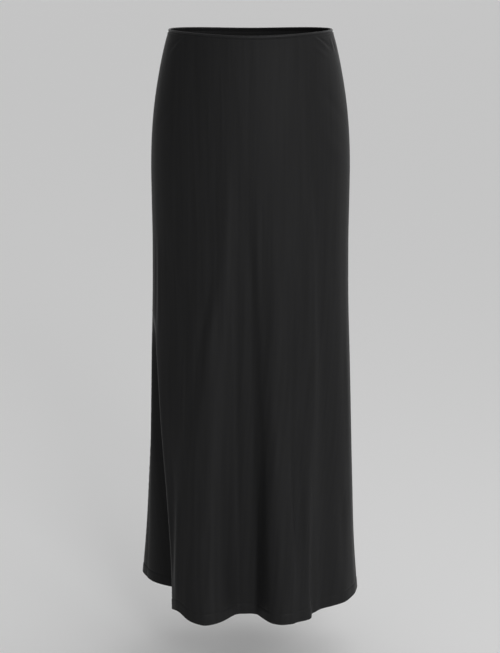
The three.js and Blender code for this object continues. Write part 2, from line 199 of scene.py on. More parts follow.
class SkirtForm:
    """The outer face of the worn skirt, as a distance from the body's axis."""

    HEM_DEPTH = 925.0  # the depth at which the fold table gives its full depth
    HEM_LEVEL = 911.0  # mean depth of the hem edge
    HEM_TILT = 0.06  # the front of the hem hangs lower and the back higher
    HEM_LIFT_ANGLE = 224.2  # the hem swings up beside the deep side fold
    HEM_LIFT_REACH = 9.2
    HEM_LIFT = 10.0
    SIDE_RISE = 3.5  # the waist edge lifts at the sides
    FRONT_DIP = 2.0  # and dips at the middle of the front
    SQUARENESS = 2.15  # 2 is an ellipse, more is squarer
    NARROWING = 0.7  # how fast a fold reaches its full width
    FOLD_LIMIT = 1.05  # folds stop widening and drifting just under the hem
    RUN_ON = 0.5  # how far the section table may be read past its ends, in rows
    NUDGE_ANGLE = 0.2  # steps across which the cloth's slope is taken, in degrees and in mm
    NUDGE_DOWN = 2
    TINY = 1e-9

    def _column(self, name: str, down: np.ndarray) -> np.ndarray:
        """One column of the section table on a smooth curve through its rows.

        Args:
            name: the column.
            down: depths below the waist in mm.

        Returns:
            The column's value at each depth.
        """
        x = np.array([s.down for s in SECTIONS], float)
        y = np.array([getattr(s, name) for s in SECTIONS], float)
        slope = np.gradient(y, x)
        slope[1:-1] = (y[2:] - y[:-2]) / (x[2:] - x[:-2])
        i = np.clip(np.searchsorted(x, down, side="left") - 1, 0, len(x) - 2)
        step = x[i + 1] - x[i]
        t = np.clip((down - x[i]) / step, -self.RUN_ON, 1 + self.RUN_ON)
        a = 2 * t**3 - 3 * t**2 + 1
        b = t**3 - 2 * t**2 + t
        c = t**3 - t**2
        return a * y[i] + (1 - a) * y[i + 1] + step * (b * slope[i] + c * slope[i + 1])

    def radius(self, angle: np.ndarray, down: np.ndarray) -> np.ndarray:
        """Distance of the outer face from the axis.

        Args:
            angle: angles in degrees.
            down: depths below the waist in mm, of the same shape.

        Returns:
            The distances in mm.
        """
        c = np.abs(np.cos(np.radians(angle)))
        s = np.sin(np.radians(angle))
        depth = np.where(s < 0, self._column("front", down), self._column("back", down))
        rounded = (c / self._column("half", down)) ** self.SQUARENESS + (np.abs(s) / depth) ** self.SQUARENESS
        r = rounded ** (-1 / self.SQUARENESS)
        for fold in FOLDS:
            r = r + self._fold(fold, angle, down)
        return r

    def _fold(self, fold: Fold, angle: np.ndarray, down: np.ndarray) -> np.ndarray:
        """How far one large fold moves the cloth out.

        Args:
            fold: the fold.
            angle: angles in degrees.
            down: depths in mm.

        Returns:
            The move in mm.
        """
        grown = np.maximum(0, (down - fold.start) / (self.HEM_DEPTH - fold.start))
        held = np.minimum(grown, self.FOLD_LIMIT)
        off = (angle - (fold.top + (fold.hem - fold.top) * held) + 180) % 360 - 180
        width = fold.narrow + (1 - fold.narrow) * held**self.NARROWING
        reach = np.where(off < 0, fold.before, fold.after) * width
        away = np.clip((np.abs(off) / reach - fold.flat) / (1 - fold.flat), 0, 1)
        eased = (1 + fold.soft) * grown * grown / (grown + fold.soft + self.TINY)
        return fold.depth * eased**fold.power * np.cos(np.pi * away / 2) ** 2

    def surface(self, angle: np.ndarray, down: np.ndarray) -> np.ndarray:
        """Points of the outer face in mm, without its creases.

        Args:
            angle: angles in degrees.
            down: depths in mm.

        Returns:
            An array with x, y and z on its last axis.
        """
        r = self.radius(angle, down)
        return np.stack([r * np.cos(np.radians(angle)), r * np.sin(np.radians(angle)), -down + 0 * r], -1)

    def outward(self, angle: np.ndarray, down: np.ndarray) -> np.ndarray:
        """Unit vectors out of the cloth.

        Args:
            angle: angles in degrees.
            down: depths in mm.

        Returns:
            An array with x, y and z on its last axis.
        """
        across, drop = self.NUDGE_ANGLE, self.NUDGE_DOWN
        turn = self.surface(angle + across, down) - self.surface(angle - across, down)
        rise = self.surface(angle, down - drop) - self.surface(angle, down + drop)
        return unit(np.cross(turn, rise))

    def waist(self, angle: np.ndarray) -> np.ndarray:
        """Depth of the top edge at each angle in mm."""
        c, s = np.cos(np.radians(angle)), np.sin(np.radians(angle))
        return self.FRONT_DIP * np.maximum(0, -s) ** 2 - self.SIDE_RISE * c * c

    def hem(self, angle: np.ndarray) -> np.ndarray:
        """Depth of the hem edge.

        Args:
            angle: angles in degrees.

        Returns:
            The depths in mm.
        """
        y = self.surface(angle, np.full_like(angle, self.HEM_DEPTH))[..., 1]
        lift = self.HEM_LIFT * np.exp(-(((angle - self.HEM_LIFT_ANGLE) / self.HEM_LIFT_REACH) ** 2))
        return self.HEM_LEVEL - self.HEM_TILT * y - lift


class Relief:
    """What lies on the smooth form: creases placed one by one, loose cloth, and marks of sewing."""

    SEED = 11
    CREASE_CLEAR = 9.0  # creases fade this near to a side seam
    PATH_POINTS = 41  # a crease's path is rounded at this many even depths
    PATH_ROUNDS = 6
    START_WIDTH, WIDENING = 0.8, 0.5  # a crease's width at its start and its gain by its end, as shares

    WAVES = 26
    LEAST_TURNS, MORE_TURNS = 9, 34  # waves round the body
    SWAY = 1.4  # how far a wave sways, in radians
    LEAST_SWAY, MORE_SWAY = 90, 160  # and over what length
    PHASE = 6.28
    LEAST_WAVE = 0.5
    FINE_WAVES = 0.6  # how much lower finer waves are, as a power
    WAVES_START, WAVES_GROW = 120, 800  # waves grow from this depth on, over this length
    WAIST_WAVES, HEM_WAVES = 0.08, 0.5

    EDGE_GROOVE, GROOVE_DEPTH, GROOVE_REACH = 4.1, 0.6, 1.0  # under the waist edge
    STITCH_LINE, STITCH_RISE, STITCH_REACH = 6.4, 0.4, 1.3
    HEM_LINE = 18.0  # height of the turned-up hem
    HEM_STEP, HEM_STEP_REACH = 0.42, 1.2  # the hem's double cloth stands out
    FAR = 700  # this many reaches above the hem line there is no step left
    HEM_DENT, HEM_DENT_REACH = 0.38, 1.5  # its line of stitches lies in
    HEM_PRICK, PRICK_DENT = 7.5, 0.4  # and further in at each stitch

    def __init__(self, creases: tuple[Crease, ...]) -> None:
        """Keeps the creases and draws the waves once from a seed."""
        self.creases = creases
        self.waves = np.random.default_rng(self.SEED).uniform(0, 1, (self.WAVES, 5))

    def height(self, form: SkirtForm, angle: np.ndarray, down: np.ndarray, edge: np.ndarray) -> np.ndarray:
        """Height of the cloth over the smooth form in mm.

        Args:
            form: the smooth form.
            angle: angles in degrees.
            down: depths in mm.
            edge: distances to the nearest side seam in mm.

        Returns:
            The heights in mm.
        """
        r = form.radius(angle, down)
        placed = sum(self._crease(crease, angle, down, r) for crease in self.creases)
        clear = 1 - np.exp(-((edge / self.CREASE_CLEAR) ** 2))
        return self._loose(angle, down) + placed * clear + self._sewing(form, angle, down, r)

    def _crease(self, crease: Crease, angle: np.ndarray, down: np.ndarray, r: np.ndarray) -> np.ndarray:
        """One crease, which fades at both ends and keeps the width that it has in mm.

        Args:
            crease: the crease.
            angle: angles in degrees.
            down: depths in mm.
            r: distances from the axis in mm.

        Returns:
            The heights in mm.
        """
        downs = np.array([p[0] for p in crease.path], float)
        angles = np.array([p[1] for p in crease.path], float)
        along = (down - downs[0]) / (downs[-1] - downs[0])
        smooth = np.interp(down, *self._bend(downs, angles))
        across = np.radians((angle - smooth + 180) % 360 - 180) * r
        ends = np.clip(along / crease.fade, 0, 1) * np.clip((1 - along) / crease.fade, 0, 1)
        ends = ends * ends * (3 - 2 * ends)
        wider = crease.width * (self.START_WIDTH + self.WIDENING * np.clip(along, 0, 1))
        return crease.height * ends * np.exp(-((across / wider) ** 2))

    def _bend(self, downs: np.ndarray, angles: np.ndarray) -> tuple[np.ndarray, np.ndarray]:
        """A crease's path, rounded at its points.

        Args:
            downs: its points' depths in mm.
            angles: their angles in degrees.

        Returns:
            Even depths and the path's angles there.
        """
        even = np.linspace(downs[0], downs[-1], self.PATH_POINTS)
        path = np.interp(even, downs, angles)
        for _ in range(self.PATH_ROUNDS):
            path[1:-1] = (path[:-2] + 2 * path[1:-1] + path[2:]) / 4
        return even, path

    def _loose(self, angle: np.ndarray, down: np.ndarray) -> np.ndarray:
        """Slight uneven waves down the cloth, which grow towards the hem.

        Args:
            angle: angles in degrees.
            down: depths in mm.

        Returns:
            The heights in mm.
        """
        total = np.zeros_like(angle)
        for a, b, c, d, e in self.waves:
            turns = round(self.LEAST_TURNS + self.MORE_TURNS * a)
            sway = self.SWAY * np.sin(down / (self.LEAST_SWAY + self.MORE_SWAY * b) + self.PHASE * c)
            size = (self.LEAST_WAVE + e) / turns**self.FINE_WAVES
            total += size * np.sin(np.radians(angle) * turns + sway + self.PHASE * d)
        grown = np.clip((down - self.WAVES_START) / self.WAVES_GROW, 0, 1)
        return total * (self.WAIST_WAVES + self.HEM_WAVES * grown)

    def _sewing(self, form: SkirtForm, angle: np.ndarray, down: np.ndarray, r: np.ndarray) -> np.ndarray:
        """The line stitched under the waist edge and the hem's line of fine stitches.

        Args:
            form: the smooth form.
            angle: angles in degrees.
            down: depths in mm.
            r: distances from the axis in mm.

        Returns:
            The heights in mm.
        """
        below = down - form.waist(angle)
        above = form.hem(angle) - down
        puffs = 0.5 + 0.5 * np.cos(np.radians(angle) * r * 2 * np.pi / self.HEM_PRICK)
        line = self.STITCH_RISE * bump(below - self.STITCH_LINE, self.STITCH_REACH)
        groove = self.GROOVE_DEPTH * bump(below - self.EDGE_GROOVE, self.GROOVE_REACH)
        reaches = np.minimum((above - self.HEM_LINE) / self.HEM_STEP_REACH, self.FAR)
        step = self.HEM_STEP / (1 + np.exp(reaches))
        dent = (self.HEM_DENT + self.PRICK_DENT * puffs) * bump(above - self.HEM_LINE, self.HEM_DENT_REACH)
        return (line - groove) + (step - dent)


def bump(away: np.ndarray, reach: float) -> np.ndarray:
    """A soft bump of height 1.

    Args:
        away: distance from its middle.
        reach: the distance at which it has dropped to about a third.

    Returns:
        Its height.
    """
    return np.exp(-((away / reach) ** 2))


class Side(Enum):
    """The side seams, by their angle in degrees."""

    LEFT = 167.0
    RIGHT = 13.0


@dataclass(frozen=True)
class Seams:
    """How far apart the cloth's edges stand in the side seams, in mm."""

    hair: float = -0.06  # the left seam's edges press into each other
    mouth: float = 2.2  # the right seam stands open this far round the slider
    mouth_end: float = 20.0  # down to this depth
    mouth_taper: float = 8.0  # and closes within this
    coil_gap: float = 0.12  # to this, over the coil

    def half_gap(self, side: Side, down: np.ndarray) -> np.ndarray:
        """Half of the gap in a seam, which is below 0 where its edges press into each other.

        Args:
            side: the seam.
            down: depths in mm.

        Returns:
            Half gaps in mm.
        """
        if side is Side.LEFT:
            return np.full_like(down, self.hair / 2)
        opened = np.clip((self.mouth_end - down) / self.mouth_taper + 1, 0, 1)
        return (self.coil_gap + (self.mouth - self.coil_gap) * opened) / 2


class Ground:
    """Turns lengths of cloth along a row into angles."""

    SAMPLES = 1400  # steps along a row

    def __init__(self, form: SkirtForm, start: float, end: float, share: np.ndarray, past: np.ndarray,
                 tuck: float) -> None:
        """Measures rows of cloth between two seams.

        Args:
            form: the smooth form.
            start: first seam's angle in degrees.
            end: last seam's angle in degrees.
            share: for each row, its share of the way from the waist to the hem.
            past: for each row, its mm past that.
            tuck: how far below the waist the first row starts, in mm.
        """
        self.form, self.share, self.past, self.tuck = form, share[:, None], past[:, None], tuck
        self.samples = np.linspace(start, end, self.SAMPLES + 1)
        angles = np.broadcast_to(self.samples, (len(share), self.SAMPLES + 1))
        points = form.surface(angles, self.depth(angles))
        steps = np.linalg.norm(np.diff(points, axis=1), axis=2)
        self.run = np.concatenate([np.zeros((len(share), 1)), np.cumsum(steps, axis=1)], axis=1)
        self.widths = self.run[:, -1:]

    def depth(self, angles: np.ndarray) -> np.ndarray:
        """Depths of the rows at the given angles in mm."""
        top = self.form.waist(angles) + self.tuck
        return top + (self.form.hem(angles) - top) * self.share + self.past

    def angles(self, run: np.ndarray) -> np.ndarray:
        """Angles at given lengths along each row.

        Args:
            run: for each row, lengths from its first seam in mm.

        Returns:
            Angles in degrees, of the same shape.
        """
        return np.array([np.interp(want, row, self.samples) for want, row in zip(run, self.run)])


def new_object(name: str, bm: bmesh.types.BMesh, materials: list[bpy.types.Material]) -> bpy.types.Object:
    """Makes a smooth mesh object of a bmesh, and frees it.

    Args:
        name: the piece's name.
        bm: its mesh.
        materials: its materials in order.

    Returns:
        The object, linked to the scene.
    """
    mesh = bpy.data.meshes.new(name)
    for face in bm.faces:
        face.smooth = True
    bm.to_mesh(mesh)
    bm.free()
    for material in materials:
        mesh.materials.append(material)
    obj = bpy.data.objects.new(name, mesh)
    bpy.context.scene.collection.objects.link(obj)
    return obj


def shaped_grid(points: np.ndarray, u: np.ndarray, v: np.ndarray) -> bmesh.types.BMesh:
    """A grid with its vertices moved to rows of points, and a UV map in metres.

    Args:
        points: rows by columns of points in mm. Its faces look the way that the skirt's outside does.
        u: for each point, its length along the row in mm.
        v: for each point, its length down the column in mm.

    Returns:
        The grid.
    """
    rows, columns = points.shape[0] - 1, points.shape[1] - 1
    half = 0.5
    bm = bmesh.new()
    bmesh.ops.create_grid(bm, x_segments=columns, y_segments=rows, size=half)
    uv = bm.loops.layers.uv.new("cloth")
    for vert in bm.verts:
        j = round((vert.co.x + half) * columns)
        i = round((half - vert.co.y) * rows)
        vert.co = Vector(points[i, j]) * MM
        for loop in vert.link_loops:
            loop[uv].uv = (u[i, j] * MM, v[i, j] * MM)
    return bm


def add_shell(obj: bpy.types.Object, thickness: float) -> None:
    """Gives a sheet its thickness, towards its wrong side.

    Args:
        obj: the sheet.
        thickness: in mm.
    """
    shell = obj.modifiers.new("thickness", "SOLIDIFY")
    shell.thickness = thickness * MM
    shell.offset = -1
    shell.material_offset = 1
    shell.material_offset_rim = 0


@dataclass
class Cloth:
    """A panel: one sheet from the waist edge to the hem, with its hem and its side edges turned in."""

    name: str
    nodes: tuple[str, ...]
    hangs_from: str
    start: float
    end: float
    sides: tuple[Side, Side]
    creases: tuple[Crease, ...]
    columns: int
    thickness: float = 0.7
    hem_radius: float = 0.9  # of the fold at the hem
    seam_radius: float = 0.75  # of the fold at each side seam
    allowance: float = 10.0  # of cloth turned in at each side seam
    tuck: float = 1.6  # how far under the waist edge's top it starts

    # Rows in mm: (from, to, step) below the waist and above the hem, and (from, to, count) between them.
    WAIST_ROWS = ((0, 12, 0.8), (12, 40, 2.8))
    EVEN_ROWS = (40, 30, 140)
    HEM_ROWS = ((27.4, 22.5, 2.4), (22, 14, 0.9), (13, hem_radius, 2.4))
    HEM_TURN = np.radians(np.arange(0, 181, 36))
    ROWS_UP = 8  # of the turned-up hem

    EDGE_TURN = np.radians([180, 140, 100, 60, 25, 0])
    ALLOWANCE_COLUMNS = np.array([1, 0.6, 0.3])  # shares of the seam allowance
    FACE_COLUMNS = np.array([1.5, 2.6, 4.2])  # mm past the seam's fold

    PUCKER, PUCKER_REACH = 0.26, 7  # puckers along the side seams
    PUCKER_PITCH, PUCKER_DRIFT, PUCKER_DRIFT_PITCH = 2.4, 1.3, 31

    def rows(self) -> tuple[np.ndarray, np.ndarray, np.ndarray]:
        """Rows down the panel and round its hem.

        Returns:
            For each row its share of the way down, its mm past that, and its offset into the skirt in mm.
        """
        length = SkirtForm.HEM_LEVEL
        top, above, count = self.EVEN_ROWS
        outer = np.concatenate([
            *[np.arange(*steps) for steps in self.WAIST_ROWS],
            np.linspace(top, length - above, count),
            *[np.arange(length - first, length - last, step) for first, last, step in self.HEM_ROWS],
        ]) / length
        turn, radius = self.HEM_TURN, self.hem_radius
        up = np.linspace(0, Relief.HEM_LINE - radius, self.ROWS_UP + 1)[1:]
        flat = np.zeros(len(outer))
        share = np.concatenate([outer, np.ones(len(turn) + len(up))])
        past = np.concatenate([flat, radius * (np.sin(turn) - 1), -radius - up])
        into = np.concatenate([flat, radius * (1 - np.cos(turn)), np.full(len(up), 2 * radius)])
        return share, past, into

    def edge_columns(self) -> tuple[np.ndarray, np.ndarray]:
        """Columns of one side edge, from the end of its seam allowance round the fold to the outer face.

        Returns:
            For each column its distance from the seam line in mm and its offset into the skirt in mm.
        """
        turn, radius = self.EDGE_TURN, self.seam_radius
        back = self.allowance * self.ALLOWANCE_COLUMNS
        away = np.concatenate([back, radius * (1 - np.sin(turn)), self.FACE_COLUMNS])
        flat = np.zeros(len(self.FACE_COLUMNS))
        return away, np.concatenate([np.full(len(back), 2 * radius), radius * (1 - np.cos(turn)), flat])

    def build(self, form: SkirtForm, seams: Seams, finish: list[bpy.types.Material]) -> bpy.types.Object:
        """Builds the panel.

        Args:
            form: the smooth form.
            seams: the gaps in the side seams.
            finish: the satin's face and its reverse.

        Returns:
            The panel.
        """
        share, past, into = self.rows()
        ground = Ground(form, self.start, self.end, share, past, self.tuck)
        away, fold = self.edge_columns()
        level = ground.depth(np.full((len(share), 1), FRONT))
        first = seams.half_gap(self.sides[0], level) + away
        last = ground.widths - seams.half_gap(self.sides[1], level) - away[::-1]
        even = np.linspace(0, 1, self.columns + 1)[1:-1]
        run = np.concatenate([first, first[:, -1:] + (last[:, :1] - first[:, -1:]) * even, last], axis=1)
        fold = np.concatenate([fold, np.zeros(len(even)), fold[::-1]])
        angles = ground.angles(run)
        down = ground.depth(angles)
        edge = np.minimum(run, ground.widths - run)
        relief = Relief(self.creases).height(form, angles, down, edge)
        drift = self.PUCKER_DRIFT * np.sin(down / self.PUCKER_DRIFT_PITCH)
        wave = np.sin(down / self.PUCKER_PITCH + drift)
        relief = relief + self.PUCKER * wave * np.exp(-edge / self.PUCKER_REACH)
        base = form.surface(angles, down)
        points = base + form.outward(angles, down) * (relief - into[:, None] - fold)[..., None]
        across = np.linalg.norm(np.diff(points, axis=1), axis=2)
        u = np.concatenate([np.zeros((len(share), 1)), np.cumsum(across, axis=1)], axis=1)
        u = u - u[:, -1:] / 2
        drop = np.linalg.norm(np.diff(points[:, len(fold) // 2], axis=0), axis=1)
        v = np.broadcast_to(np.concatenate([[0], np.cumsum(drop)])[:, None], u.shape)
        bm = shaped_grid(points, u, v)
        obj = new_object(self.name, bm, finish)
        add_shell(obj, self.thickness)
        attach(obj, "skirt")
        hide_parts(*self.nodes)
        return obj


def round_edges(bm: bmesh.types.BMesh, edges: list[bmesh.types.BMEdge], radius: float, segments: int) -> None:
    """Rounds edges by a radius in mm."""
    bmesh.ops.bevel(bm, geom=edges, offset=radius * MM, offset_type="OFFSET", segments=segments, profile=0.5,
                    affect="EDGES", material=-1)


def stitch_row(bm: bmesh.types.BMesh, middles: np.ndarray, along: np.ndarray, out: np.ndarray,
               size: tuple[float, float]) -> None:
    """Adds short stitches, each a slim capsule of few faces with its place as its UV values.

    Args:
        bm: the mesh that takes them.
        middles: their middles in mm.
        along: unit vectors along each.
        out: unit vectors out of the cloth.
        size: a stitch's length and thickness in mm.
    """
    uv = bm.loops.layers.uv.get("cloth") or bm.loops.layers.uv.new("cloth")
    for middle, a, o in zip(middles, along, out):
        side = np.cross(a, o)
        turn = Matrix((a, side, o)).transposed().to_4x4()
        place = Matrix.Translation(Vector(middle) * MM) @ turn
        stretch = Matrix.Diagonal((size[0] / 2 * MM, size[1] / 2 * MM, size[1] / 2 * MM, 1))
        verts = bmesh.ops.create_icosphere(bm, subdivisions=1, radius=1.0, matrix=place @ stretch)["verts"]
        for loop in (loop for vert in verts for loop in vert.link_loops):
            loop[uv].uv = (loop.vert.co.x + loop.vert.co.y, loop.vert.co.z)


def unit(vectors: np.ndarray) -> np.ndarray:
    """Unit vectors along the last axis."""
    return vectors / np.linalg.norm(vectors, axis=-1, keepdims=True)


def squared(wave: np.ndarray, power: float) -> np.ndarray:
    """A sine or cosine made squarer by a power below 1, with its sign."""
    return np.sign(wave) * np.abs(wave) ** power


class Level(Enum):
    """The edges that stitches follow."""

    WAIST = "waist"
    HEM = "hem"


def along_row(form: SkirtForm, start: float, end: float, pitch: float,
              level: Level, away: float, offset: float) -> tuple[np.ndarray, np.ndarray, np.ndarray]:
    """Even places along the waist edge or the hem.

    Args:
        form: the smooth form.
        start: first angle in degrees.
        end: last angle in degrees.
        pitch: the distance between places in mm.
        level: the edge.
        away: mm below that level.
        offset: mm out of the form.

    Returns:
        The places in mm, unit vectors along the row and unit vectors out of the cloth.
    """
    fine = np.linspace(start, end, EDGE_SAMPLES)
    edge = form.waist if level is Level.WAIST else form.hem
    points = form.surface(fine, edge(fine) + away)
    run = np.concatenate([[0], np.cumsum(np.linalg.norm(np.diff(points, axis=0), axis=1))])
    angle = np.interp(np.arange(pitch / 2, run[-1], pitch), run, fine)
    down = edge(angle) + away
    out = form.outward(angle, down)
    before, after = angle - EDGE_NUDGE, angle + EDGE_NUDGE
    ahead = form.surface(after, edge(after) + away) - form.surface(before, edge(before) + away)
    along = unit(ahead - out * (ahead * out).sum(-1, keepdims=True))
    return form.surface(angle, down) + out * offset, along, out


@dataclass
class WaistEdge:
    """Half of the waist edge: the satin turned over into a narrow rolled edge and stitched."""

    name: str
    node: str
    start: float
    end: float
    sides: tuple[Side, Side]
    columns: int = 150
    height: float = 3.4
    swell: float = 0.55  # out of the form
    inside: float = 2.05  # and into it
    corner: float = 0.75  # 1 for an elliptical section, less for a squarer one
    rounding: float = 0.7  # of its ends
    stitch: tuple[float, float] = (2.1, 0.34)  # length and thickness
    pitch: float = 3.1
    stitch_level: float = 2.35  # below the waist
    sunk: float = 0.03  # how far the stitches sit in the edge
    wobble: float = 0.05
    clear: float = 2.0  # degrees without stitches at each end

    SECTION_TURN = np.radians(np.arange(0, 361, 20) - 90)
    END_COLUMNS = np.array([0, 0.12, 0.3, 0.6])  # mm from each end
    LEAST_END = 0.02  # the end's section, as a share of its size squared
    ROUND_LENGTH = 12  # of the section, for its UV values
    WELD = 0.00001

    def profile(self) -> np.ndarray:
        """The edge's section.

        Returns:
            Points of (offset, down) in mm, round from the middle of its lower side.
        """
        middle, half = (self.swell - self.inside) / 2, (self.swell + self.inside) / 2
        offset = middle + half * squared(np.cos(self.SECTION_TURN), self.corner)
        down = self.height * (0.5 - 0.5 * squared(np.sin(self.SECTION_TURN), self.corner))
        return np.stack([offset, down], -1)

    def build(self, form: SkirtForm, seams: Seams, finish: bpy.types.Material) -> bpy.types.Object:
        """Builds the edge and its stitches.

        Args:
            form: the smooth form.
            seams: the gaps in the side seams.
            finish: its material.

        Returns:
            The edge.
        """
        ground = Ground(form, self.start, self.end, np.zeros(1), np.zeros(1), self.height / 2)
        zero = np.zeros((1, 1))
        first = seams.half_gap(self.sides[0], zero)
        last = ground.widths - seams.half_gap(self.sides[1], zero)
        ends, inset = self.END_COLUMNS, self.END_COLUMNS[-1]
        even = first + inset + (last - first - 2 * inset) * np.linspace(0, 1, self.columns + 1)[1:-1]
        run = np.concatenate([first + ends, even, last - ends[::-1]], axis=1)
        angle = ground.angles(run)[0]
        edge = np.minimum(run - first, last - run)[0]
        near = np.clip(1 - edge / self.rounding, 0, 1)
        round_in = np.sqrt(np.clip(1 - near**2, self.LEAST_END, 1))
        shape = self.profile()
        middle = shape[:-1].mean(axis=0)
        ring = middle + (shape[:, None, :] - middle) * round_in[None, :, None]
        wobble = self.wobble * np.sin(run[0] * 2 * np.pi / self.pitch)
        angles = np.broadcast_to(angle, ring.shape[:2])
        down = form.waist(angles) + ring[..., 1]
        points = form.surface(angles, down) + form.outward(angles, down) * (ring[..., 0] + wobble)[..., None]
        u = np.broadcast_to(run[0], ring.shape[:2])
        v = np.broadcast_to(np.linspace(0, self.ROUND_LENGTH, len(shape))[:, None], ring.shape[:2])
        bm = shaped_grid(points[::-1], u, v)
        bmesh.ops.remove_doubles(bm, verts=bm.verts, dist=self.WELD)
        bmesh.ops.holes_fill(bm, edges=[e for e in bm.edges if e.is_boundary], sides=0)
        bmesh.ops.recalc_face_normals(bm, faces=bm.faces)
        places = along_row(form, self.start + self.clear, self.end - self.clear, self.pitch, Level.WAIST,
                           self.stitch_level, self.swell - self.sunk)
        stitch_row(bm, *places, self.stitch)
        obj = new_object(self.name, bm, [finish])
        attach(obj, "skirt")
        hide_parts(self.node)
        return obj


@dataclass
class HemStitches:
    """The thread of the blind stitches that hold the turned-up hem, on the inside."""

    name: str = "hem_thread"
    pitch: float = Relief.HEM_PRICK
    stitch: tuple[float, float] = (4.6, 0.3)  # length and thickness
    slope: float = 0.55
    inside: float = 2.62  # into the form
    over: float = 0.8  # how far below the end of the turned-up cloth they lie
    clear: float = 2.0  # degrees without stitches at each seam

    def build(self, form: SkirtForm, finish: bpy.types.Material) -> bpy.types.Object:
        """Builds the stitches along both panels.

        Args:
            form: the smooth form.
            finish: the thread's material.

        Returns:
            The thread.
        """
        bm = bmesh.new()
        left, right = Side.LEFT.value, Side.RIGHT.value
        for start, end in ((left, right + 360), (right, left)):
            middles, along, out = along_row(form, start + self.clear, end - self.clear, self.pitch, Level.HEM,
                                            -Relief.HEM_LINE + self.over, -self.inside)
            rise = np.cross(out, along)
            slanted = unit(along + rise * self.slope)
            stitch_row(bm, middles, slanted, out, self.stitch)
        obj = new_object(self.name, bm, [finish])
        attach(obj, "skirt")
        return obj


